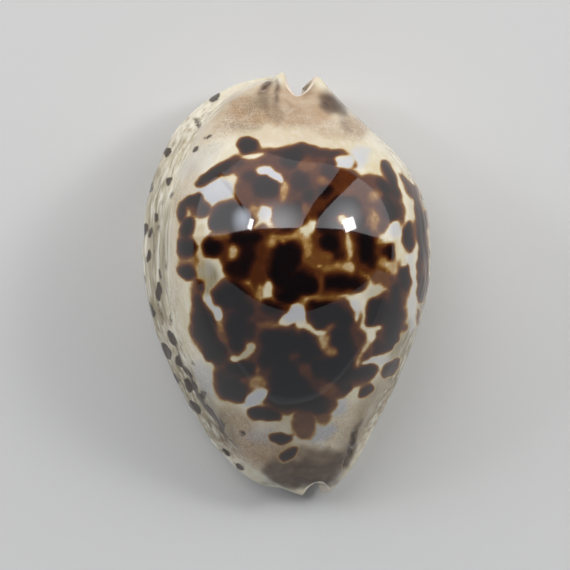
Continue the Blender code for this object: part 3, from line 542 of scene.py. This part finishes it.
# Fine brown speckle: broad soft patches of it at both ends and down the furrow beside the flange.
SPECKLE = (
    (250, 112, 26, 17, 15, 0.9), (285, 118, 20, 10, 0, 0.5), (232, 124, 16, 10, 25, 0.5),
    (330, 128, 36, 8, -12, 0.5), (357, 124, 14, 9, -30, 0.7), (215, 140, 22, 9, 40, 0.35),
    (187, 190, 9, 30, -18, 0.3), (177, 250, 8, 60, 0, 0.3), (182, 330, 9, 50, 14, 0.3),
    (208, 390, 14, 34, 32, 0.4), (236, 432, 18, 26, 35, 0.8), (266, 450, 24, 16, 15, 0.7),
    (290, 425, 30, 12, 0, 0.3), (345, 415, 18, 20, -30, 0.4), (330, 440, 20, 14, 0, 0.4),
)
# Tan stains of the ends and margins, then olive, umber and bluish white marks, each partly painted light
# as told above its list.
TAN = (
    (285, 106, 58, 22, 0, 0.9), (240, 118, 28, 16, 20, 0.6), (330, 126, 36, 10, -12, 0.6),
    (357, 124, 14, 9, -30, 0.7), (236, 432, 20, 30, 35, 0.7), (285, 428, 44, 16, 0, 0.3),
    (300, 462, 46, 17, 0, 0.9), (345, 430, 18, 30, -30, 0.4), (266, 450, 26, 16, 15, 0.7),
    (187, 190, 8, 30, -18, 0.35), (177, 250, 7, 60, 0, 0.3), (335, 152, 20, 6, -5, 0.3),
    (300, 138, 60, 10, 0, 0.4), (206, 130, 34, 10, 40, 0.4), (370, 410, 14, 40, -30, 0.5),
)
# Olive: partly an olive-grey tone of the lakes and margins, and partly painted shade along the outer edges
# of both margins, down the furrow beside the outer lip's flange, on the inner lip's lower margin and in the
# groove beside it.
OLIVE_AND_SHADE = (
    (157, 250, 12, 90, 0, 0.75), (168, 350, 12, 60, 22, 0.6), (196, 400, 14, 46, 34, 0.8),
    (205, 395, 10, 30, 34, 0.5), (222, 432, 14, 20, 42, 0.5), (376, 402, 14, 34, -30, 0.75),
    (401, 352, 12, 34, -14, 0.95), (377, 292, 12, 9, 0, 0.45), (248, 350, 12, 12, 20, 0.6),
    (207, 278, 12, 18, 8, 0.95), (298, 314, 14, 9, 0, 0.3), (420, 200, 9, 40, 12, 0.5),
    (258, 104, 12, 10, 30, 0.5), (352, 440, 10, 24, -26, 0.6), (165, 160, 10, 40, -35, 0.3),
)
# Umber: partly the dark brown of both ends, and partly painted shade at the front end, in the hollow beside
# the left rear horn, in the groove at the inner lip (354, 436 and 349, 454) and along the right edge (424,
# 250 and 421, 315).
UMBER_AND_SHADE = (
    (333, 105, 12, 9, -20, 0.9), (326, 98, 8, 9, 35, 0.7), (342, 111, 8, 6, -35, 0.75),
    (346, 126, 10, 5, -35, 0.45), (277, 91, 3, 13, 4, 0.85), (265, 87, 4, 9, -34, 0.95),
    (272, 108, 10, 16, 25, 0.45), (288, 102, 4, 7, 30, 0.3), (262, 101, 8, 8, 0, 0.3),
    (292, 112, 9, 6, 0, 0.25), (309, 88, 6, 9, -35, 0.5), (311, 106, 13, 12, 0, 0.2),
    (246, 127, 18, 4, -5, 0.35), (298, 473, 36, 13, -4, 0.75), (322, 466, 24, 16, 12, 0.7),
    (288, 464, 26, 16, 30, 0.45), (284, 484, 26, 8, 10, 0.75), (316, 482, 24, 9, 0, 0.7),
    (322, 487, 6, 6, 0, 0.4), (340, 464, 10, 16, -24, 0.6), (318, 452, 22, 6, 8, 0.3),
    (354, 436, 4, 18, -24, 0.8), (349, 454, 4, 16, -24, 0.85), (424, 250, 5, 60, 2, 0.8),
    (421, 315, 4, 30, -6, 0.5), (222, 425, 10, 18, 40, 0.35), (232, 446, 9, 16, 42, 0.3),
)
# Bluish white: partly pale colour where the brown thins out, and partly a painted reflection of the light
# panels on the enamel, with a painted highlight at (265, 213) beside the left lamp's highlight.
BLUE_AND_REFLECTION = (
    (215, 192, 20, 13, 0, 1), (271, 174, 15, 9, -15, 1), (265, 213, 8, 8, 0, 0.9),
    (214, 308, 7, 14, 18, 0.8), (295, 314, 14, 9, 0, 1), (255, 398, 13, 7, 20, 0.9),
    (350, 163, 18, 8, 10, 0.9), (360, 152, 10, 6, 0, 0.8), (398, 229, 9, 8, 0, 0.8),
    (411, 290, 6, 44, 2, 0.6), (334, 404, 14, 12, -30, 0.9), (377, 361, 14, 4, 5, 0.7),
    (207, 378, 10, 20, 32, 0.6), (316, 433, 22, 8, 10, 0.9), (262, 436, 16, 8, 0, 0.4),
    (355, 308, 6, 8, 0, 0.7), (205, 268, 8, 9, 0, 0.3), (200, 160, 26, 10, 38, 0.3),
)

x, y, z = np.moveaxis(outside, 2, 0)
pixels = PICTURE * LENS / SENSOR / (EYE_HEIGHT - z)
seen_across = PICTURE / 2.0 + (x - EYE[0]) * pixels
seen_down = PICTURE / 2.0 - (y - EYE[1]) * pixels

# Past the outline the marks carry on down the side: each step round the loop, away from the crest, counts
# as at least LEAST_STRIDE of its length across.
LEAST_STRIDE = 0.15
steps = np.linalg.norm(np.diff(outside, axis=1), axis=2) * pixels[:, 1:]
stride = np.maximum(np.diff(seen_across, axis=1), LEAST_STRIDE * steps)
spread = np.concatenate((np.zeros((ROWS, 1)), np.cumsum(stride, axis=1)), axis=1)
crest_column = int(np.argmin(np.abs(rail - CREST_RAIL)))
crest_only = slice(crest_column, crest_column + 1)
seen_across = spread - spread[:, crest_only] + seen_across[:, crest_only]


def oval(across, down, mark, soft):
    """1 inside an oval mark and 0 outside, with a smooth step of `soft` either side of its outline. How far
    a point is outside is its distance in half widths, less one, over how fast that number changes."""
    middle_across, middle_down, half_width, half_height, turn = mark[:5]
    cosine, sine = np.cos(np.radians(turn)), np.sin(np.radians(turn))
    right = (across - middle_across) * cosine - (down - middle_down) * sine
    below = (across - middle_across) * sine + (down - middle_down) * cosine
    ratio = np.hypot(right / half_width, below / half_height)
    slope = np.hypot(right / half_width**2, below / half_height**2) + 1e-6
    outside_by = np.maximum(ratio * (ratio - 1.0) / slope, -min(half_width, half_height))
    return ease(-soft, soft, -outside_by)


def wander(across, down):
    """The same place, moved a little by sums of crossing waves, so that outlines aren't true ovals."""
    return (
        across + 0.8 * np.sin(0.19 * down + 1.0) + 0.6 * np.sin(0.23 * across + 0.11 * down + 2.0)
        + 0.4 * np.sin(0.47 * down - 0.31 * across),
        down + 0.8 * np.sin(0.17 * across + 0.5) + 0.6 * np.sin(0.21 * down - 0.13 * across + 4.0)
        + 0.4 * np.sin(0.43 * across + 0.29 * down),
    )


# How soft the outlines of each kind of mark are. The brown is as deep as the deepest ground there, then
# deeper with each blotch laid over it, and the lakes bring it down.
GROUND_SOFT, BLOTCH_SOFT, LAKE_SOFT, STREAK_AND_SHADOW_SOFT, SPECKLE_SOFT = 5.0, 4.6, 3.4, 2.2, 9.0
TAN_SOFT, OLIVE_AND_SHADE_SOFT, UMBER_AND_SHADE_SOFT, BLUE_AND_REFLECTION_SOFT = 7.0, 6.0, 5.0, 4.0
warped = wander(seen_across, seen_down)
pigment = np.zeros_like(x)
for mark in BROWN_GROUND:
    pigment = np.maximum(pigment, mark[-1] * oval(*warped, mark, GROUND_SOFT))
bare = 1.0 - pigment
for mark in BLOTCHES:
    bare *= 1.0 - mark[-1] * oval(*warped, mark, BLOTCH_SOFT)
pigment = 1.0 - bare
for mark in LAKES:
    pigment += (np.minimum(pigment, mark[-1]) - pigment) * oval(*warped, mark, LAKE_SOFT)


def gathered(marks, soft):
    """Several marks laid over each other: one less the product of what each leaves bare."""
    left = np.ones_like(x)
    for mark in marks:
        left *= 1.0 - mark[-1] * oval(*warped, mark, soft)
    return 1.0 - left


streaks, speckle = gathered(STREAKS_AND_SHADOW, STREAK_AND_SHADOW_SOFT), gathered(SPECKLE, SPECKLE_SOFT)
tan, olive = gathered(TAN, TAN_SOFT), gathered(OLIVE_AND_SHADE, OLIVE_AND_SHADE_SOFT)
umber, blue = gathered(UMBER_AND_SHADE, UMBER_AND_SHADE_SOFT), gathered(BLUE_AND_REFLECTION, BLUE_AND_REFLECTION_SOFT)

# Streaks and umber, with the painted shade among them, fade where the wall turns down at the very ends,
# which the picture doesn't show.
END_FACING, UMBER_AND_SHADE_LOST = (0.8, 0.97), 0.7
end_face = ease(*END_FACING, np.abs(unit_normals(outside)[:, :, 1]))
streaks, umber = streaks * (1.0 - end_face), umber * (1.0 - UMBER_AND_SHADE_LOST * end_face)

# The callus of the base runs from the lips to these rails, and the streaks stop at the lips alone.
CALLUS_RAILS, LIP_RAILS = (3.2, 5.6), (1.4, 3.0)
from_slit = np.minimum(R, LAST_RAIL - R)
callus, lips = 1.0 - ease(*CALLUS_RAILS, from_slit), 1.0 - ease(*LIP_RAILS, from_slit)


def paint(name, values, elsewhere):
    """Keeps a value for every point of the mesh: the outer face's own, and one number for the rest."""
    layer = mesh.attributes.new(name, "FLOAT", "POINT")
    whole = np.full(len(points), elsewhere, np.float32)
    whole[:values.size] = values.reshape(-1)
    layer.data.foreach_set("value", whole)


# Besides stains, the streaks, olive and umber layers carry painted shade, and the blue layer painted
# reflection.
paint("pigment", pigment * (1.0 - callus), 0.0)
paint("streaks", streaks * (1.0 - lips), 0.0)
paint("speckle", speckle * (1.0 - callus), 0.0)
paint("tan", tan, 0.5)
paint("olive", olive * (1.0 - callus), 0.2)
paint("umber", umber * (1.0 - callus), 0.3)
paint("margin", margin + far_margin, 0.0)
paint("blue", blue * (1.0 - callus), 0.0)
paint("callus", callus, 1.0)


# Shell: its enamel.
# Clear glossy enamel over cream, with the brown under it, so the edges of the blotches pass through
# red-brown, amber and gold. It is as smooth as glass on the back and finely grained at both ends.


class Wire:
    """An output socket of a material's nodes. Sums on it add Math nodes."""

    def __init__(self, tree, socket=None):
        self.tree, self.socket = tree, socket

    def node(self, kind, settings=(), sockets=(), out=0):
        """Adds a node from its type, its settings and its sockets' values or links, and keeps one output."""
        node = self.tree.nodes.new(kind)
        for name, value in dict(settings).items():
            if name == "stops":
                ramp = node.color_ramp.elements
                while len(ramp) < len(value):
                    ramp.new(1.0)
                for stop, (place, colour) in zip(ramp, value):
                    stop.position, stop.color = place, colour
            else:
                setattr(node, name, value)
        for name, value in dict(sockets).items():
            if isinstance(value, Wire):
                self.tree.links.new(value.socket, node.inputs[name])
            else:
                node.inputs[name].default_value = value
        return Wire(self.tree, node.outputs[out])

    def sum(self, operation, first, second, clamp=False):
        """A Math node on two numbers or links."""
        settings = {"operation": operation, "use_clamp": clamp}
        return self.node("ShaderNodeMath", settings, {0: first, 1: second})

    def __add__(self, other):
        return self.sum("ADD", self, other)

    def __sub__(self, other):
        return self.sum("SUBTRACT", self, other)

    def __rsub__(self, other):
        return self.sum("SUBTRACT", other, self)

    def __mul__(self, other):
        return self.sum("MULTIPLY", self, other)

    __radd__, __rmul__ = __add__, __mul__

    def held(self):
        """The same number, kept between 0 and 1."""
        return self.sum("ADD", self, 0.0, clamp=True)

    def step(self, low, high):
        """0 below `low`, 1 above `high`, and a smooth step between them."""
        sockets = {"Value": self, "From Min": low, "From Max": high}
        return self.node("ShaderNodeMapRange", {"interpolation_type": "SMOOTHSTEP"}, sockets)

    def blend(self, first, second):
        """The first colour where this number is 0, and the second where it is 1."""
        return self.node("ShaderNodeMix", {"data_type": "RGBA"}, {0: self, 6: first, 7: second}, out=2)


def tint(red, green, blue):
    """A colour as the eye names it, 0 to 255, as the light that the shader wants."""
    share = np.array((red, green, blue)) / 255.0
    light = np.where(share <= 0.04045, share / 12.92, ((share + 0.055) / 1.055) ** 2.4)
    return (*light.tolist(), 1.0)


enamel = bpy.data.materials.new("cowrie enamel")
enamel.use_nodes = True
glaze = Wire(enamel.node_tree)
surface = enamel.node_tree.nodes["Principled BSDF"]
place = glaze.node("ShaderNodeTexCoord", out="Object")


def grain(millimetres, detail=2.0, roughness=0.5, stretch=(1.0, 1.0, 1.0)):
    """Soft random grain of about this size, 0 to 1 round 0.5. A stretch below 1 draws it out that way."""
    where = place
    if stretch != (1.0, 1.0, 1.0):
        where = glaze.node("ShaderNodeMapping", (), {"Vector": place, "Scale": stretch})
    sockets = {"Vector": where, "Scale": 1.0 / (millimetres * MM), "Detail": detail, "Roughness": roughness}
    return glaze.node("ShaderNodeTexNoise", (), sockets)


def layer(name):
    """One of the values kept with the mesh."""
    return glaze.node("ShaderNodeAttribute", {"attribute_name": name}, out="Fac")


clouds, patches, fleck, dust = grain(9.0), grain(2.6, 3.0), grain(0.8, 3.0), grain(0.24, 1.0)
lengthwise, threads = grain(1.5, 3.0, 0.6, (1.0, 0.12, 1.0)), grain(1.0, 2.0, 0.5, (1.0, 0.1, 1.0))
pigment_wire, streak_and_shadow_wire, speckle_wire = layer("pigment"), layer("streaks"), layer("speckle")
callus_wire, margin_wire = layer("callus"), layer("margin")

# Of these tints, the olive, the umber and the streak brown also paint shade, and the bluish white also
# paints reflection.
PALE_CREAM, DEEP_CREAM, GROWTH_LINES = tint(218, 209, 186), tint(208, 198, 168), tint(228, 225, 212)
TAN_STAIN, OLIVE_AND_SHADE_TINT, BLUE_WHITE_AND_REFLECTION = tint(166, 134, 98), tint(122, 110, 80), tint(180, 184, 194)
PALE_THREADS, DARK_THREADS, UMBER_AND_SHADE_TINT = tint(232, 228, 212), tint(116, 98, 64), tint(66, 40, 16)
FRECKLES, STREAK_AND_SHADOW_BROWN = tint(104, 80, 58), tint(46, 26, 10)
PALE_BASE, FAWN_BASE = tint(224, 212, 192), tint(214, 196, 172)
BROWNS = (
    (0.0, tint(204, 192, 150)), (0.12, tint(188, 168, 112)), (0.22, tint(158, 118, 60)),
    (0.31, tint(106, 66, 28)), (0.44, tint(80, 40, 17)), (0.60, tint(52, 23, 12)),
    (0.82, tint(28, 12, 9)), (1.0, tint(14, 8, 9)),
)


def mottled_layer(name, cover, mottle, pattern):
    """A layer's own value times `cover`, and more or less than that by `mottle` with the pattern's grain."""
    return layer(name) * (cover + mottle * (pattern - 0.5))


# Cream, with pale growth lines, stains, painted shade and painted reflection, and pale and dark threads
# along the margins.
cream = clouds.step(0.35, 0.65).blend(PALE_CREAM, DEEP_CREAM)
cream = (lengthwise.step(0.45, 0.7) * 0.45).blend(cream, GROWTH_LINES)
cream = mottled_layer("tan", 0.85, 0.8, patches).held().blend(cream, TAN_STAIN)
# The olive and umber layers paint shade as well as stain, and the bluish white paints reflection as well as
# thin brown.
cream = mottled_layer("olive", 0.8, 1.2, lengthwise).held().blend(cream, OLIVE_AND_SHADE_TINT)
cream = mottled_layer("blue", 0.8, 0.5, patches).held().blend(cream, BLUE_WHITE_AND_REFLECTION)
cream = (margin_wire * threads.step(0.48, 0.7) * 0.7).blend(cream, PALE_THREADS)
cream = (margin_wire * threads.step(0.5, 0.26) * 0.6).blend(cream, DARK_THREADS)
cream = mottled_layer("umber", 0.9, 0.5, patches).step(0.0, 1.0).blend(cream, UMBER_AND_SHADE_TINT)

# Fine freckles, and the streaks with their rough outlines, three of them painted shadow in the groove at the
# inner lip. The base is pale fawn and bears none of this.
freckled = (speckle_wire * (dust + 0.5 * (fleck - 0.5)).step(0.42, 0.66)).held()
cream = (freckled * 0.65).blend(cream, FRECKLES)
streaked_and_shadowed = (streak_and_shadow_wire + 0.5 * (fleck - 0.5) * streak_and_shadow_wire.step(0.02, 0.3)).step(0.12, 0.5)
cream = (streaked_and_shadowed * 0.95).blend(cream, STREAK_AND_SHADOW_BROWN)
ground = callus_wire.blend(cream, clouds.step(0.3, 0.7).blend(PALE_BASE, FAWN_BASE))

# The deeper the pigment lies, the darker it shows, from straw and amber to nearly black.
rough_edge = 0.16 * (patches - 0.5) + 0.1 * (fleck - 0.5)
depth = (pigment_wire + rough_edge * pigment_wire.step(0.02, 0.25)).held()
brown = glaze.node("ShaderNodeValToRGB", {"stops": BROWNS}, {"Fac": depth})
colour = depth.step(0.05, 0.26).blend(ground, brown)

# The gloss is duller on the callus and among the freckles, where the enamel is finely uneven too.
dullness = 0.05 + 0.16 * callus_wire + 0.1 * speckle_wire * dust
relief = speckle_wire * fleck * 0.6 + callus_wire * patches * 0.6 + (lengthwise - 0.5) * 0.15
sockets = {"Height": relief, "Strength": 0.35, "Distance": 0.12 * MM}
bump = glaze.node("ShaderNodeBump", (), sockets, out="Normal")
for name, wire in {"Base Color": colour, "Roughness": dullness, "Normal": bump}.items():
    enamel.node_tree.links.new(wire.socket, surface.inputs[name])
surface.inputs["IOR"].default_value = 1.6
mesh.materials.append(enamel)


# Floor, lights and camera.
# A pale matt floor lies under the shell, wide enough to fill the view from any side. Soft panels and three
# lamps light it, and the panels are what the enamel mirrors.
FLOOR_REACH = 6.0
floor_corners = [(FLOOR_REACH * side, FLOOR_REACH * end, 0.0)
                 for side, end in ((-1, -1), (1, -1), (1, 1), (-1, 1))]
floor_mesh = bpy.data.meshes.new("floor")
floor_mesh.from_pydata(floor_corners, [], [(0, 1, 2, 3)])
floor = put_in("floor", floor_mesh)
card = bpy.data.materials.new("pale card")
card.use_nodes = True
for name, value in {"Base Color": tint(206, 206, 204), "Roughness": 0.7, "Specular IOR Level": 0.2}.items():
    card.node_tree.nodes["Principled BSDF"].inputs[name].default_value = value
floor_mesh.materials.append(card)


def soft_panel(name, corners, colour, radiance, middle, reach, peak, clear=False):
    """A glowing sheet with these corners, in metres, which the camera itself doesn't see. Its radiance rises
    smoothly to `peak` at the middle, from what it is past the reach. A clear sheet glows within the reach
    alone."""
    sheet_mesh = bpy.data.meshes.new(name)
    sheet_mesh.from_pydata(corners, [], [tuple(range(len(corners)))])
    glow = bpy.data.materials.new(name)
    glow.use_nodes = True
    glow.node_tree.nodes.remove(glow.node_tree.nodes["Principled BSDF"])
    wire = Wire(glow.node_tree)
    at = wire.node("ShaderNodeTexCoord", out="Object")
    away = wire.node("ShaderNodeVectorMath", {"operation": "DISTANCE"}, {0: at, 1: middle}, out="Value")
    near = away.step(reach, 0.0)
    dim, bright = [(*(part * strength for part in colour), 1.0) for strength in (radiance, peak)]
    lit = wire.node("ShaderNodeEmission", (), {"Color": near.blend(dim, bright)})
    if clear:
        see_through = wire.node("ShaderNodeBsdfTransparent")
        lit = wire.node("ShaderNodeMixShader", (), {0: near, 1: see_through, 2: lit})
    glow.node_tree.links.new(lit.socket, glow.node_tree.nodes["Material Output"].inputs["Surface"])
    sheet_mesh.materials.append(glow)
    panel = put_in(name, sheet_mesh)
    panel.visible_camera = False


# The panels stand behind and at both sides of the shell like a tent that is open along the top, with a gap
# at the right of the rear one. Each is brightest near its top, and a clear sheet glows before the left one.
soft_panel(
    "rear panel", [(-1.35, 1.3, 0.0), (-0.86, 0.26, 0.95), (0.02, 0.26, 0.95), (0.56, 1.3, 0.0)],
    colour=(1.0, 0.98, 1.0), radiance=1.3, middle=(-0.3, 0.3, 0.92), reach=0.5, peak=5.5,
)
soft_panel(
    "right panel", [(0.96, 1.3, 0.0), (0.19, 0.26, 0.95), (2.2, 0.28, 0.95), (2.2, 0.1, 0.0)],
    colour=(0.97, 0.97, 1.0), radiance=2.0, middle=(0.85, 0.36, 0.87), reach=0.6, peak=5.0,
)
soft_panel(
    "left panel", [(-1.52, 1.3, 0.0), (-2.2, 0.15, 0.0), (-2.03, 0.24, 0.7), (-0.92, 0.27, 0.95)],
    colour=(0.95, 0.97, 1.0), radiance=1.7, middle=(-1.2, 0.3, 0.9), reach=0.5, peak=3.0,
)
soft_panel(
    "left glow", [(-0.88, 0.13, 0.36), (-0.94, 0.52, 0.36), (-0.73, 0.46, 0.67), (-0.7, 0.19, 0.67)],
    colour=(0.88, 0.95, 1.06), radiance=8.0, middle=(-0.78, 0.3, 0.56), reach=0.24, peak=8.0, clear=True,
)


def lamp(name, middle, toward, size, radiance, colour):
    """A rectangular area lamp turned to face a point. Its power is its radiance times pi times its area."""
    light = bpy.data.lights.new(name, "AREA")
    light.shape = "RECTANGLE"
    light.size, light.size_y = size
    light.energy = radiance * np.pi * size[0] * size[1]
    light.color = colour
    holder = put_in(name, light)
    holder.location = middle
    holder.rotation_euler = (Vector(toward) - Vector(middle)).to_track_quat("-Z", "Y").to_euler()
    holder.visible_camera = False


# One dim wide lamp stands in front, and a small bright one at each side makes a highlight on the back. The
# room itself is nearly dark.
WHITE, BACK_OF_SHELL = (1.0, 1.0, 1.0), (0.0, 0.0, 0.03)
lamp("front lamp", (0.25, -0.5, 0.295), (0.25, 0.0, 0.295), (4.3, 0.59), 0.42, (0.88, 0.94, 1.0))
lamp("left lamp", (-0.73, 0.26, 0.68), BACK_OF_SHELL, (0.13, 0.07), 30.0, WHITE)
lamp("right lamp", (0.64, 0.245, 0.61), BACK_OF_SHELL, (0.15, 0.17), 20.0, WHITE)
world = bpy.data.worlds.new("studio")
world.use_nodes = True
world.node_tree.nodes["Background"].inputs["Color"].default_value = (0.9, 0.94, 1.0, 1.0)
world.node_tree.nodes["Background"].inputs["Strength"].default_value = 0.03
bpy.context.scene.world = world
bpy.context.scene.view_settings.view_transform = "Standard"

# The camera looks straight down through a long lens, from 0.6 m, with the rear end at the top.
lens = bpy.data.cameras.new("camera")
lens.lens, lens.sensor_width = LENS, SENSOR
lens.clip_start, lens.clip_end = 0.01, 50.0
camera = put_in("camera", lens)
camera.location = (EYE[0] * MM, EYE[1] * MM, EYE_HEIGHT * MM)
bpy.context.scene.camera = camera
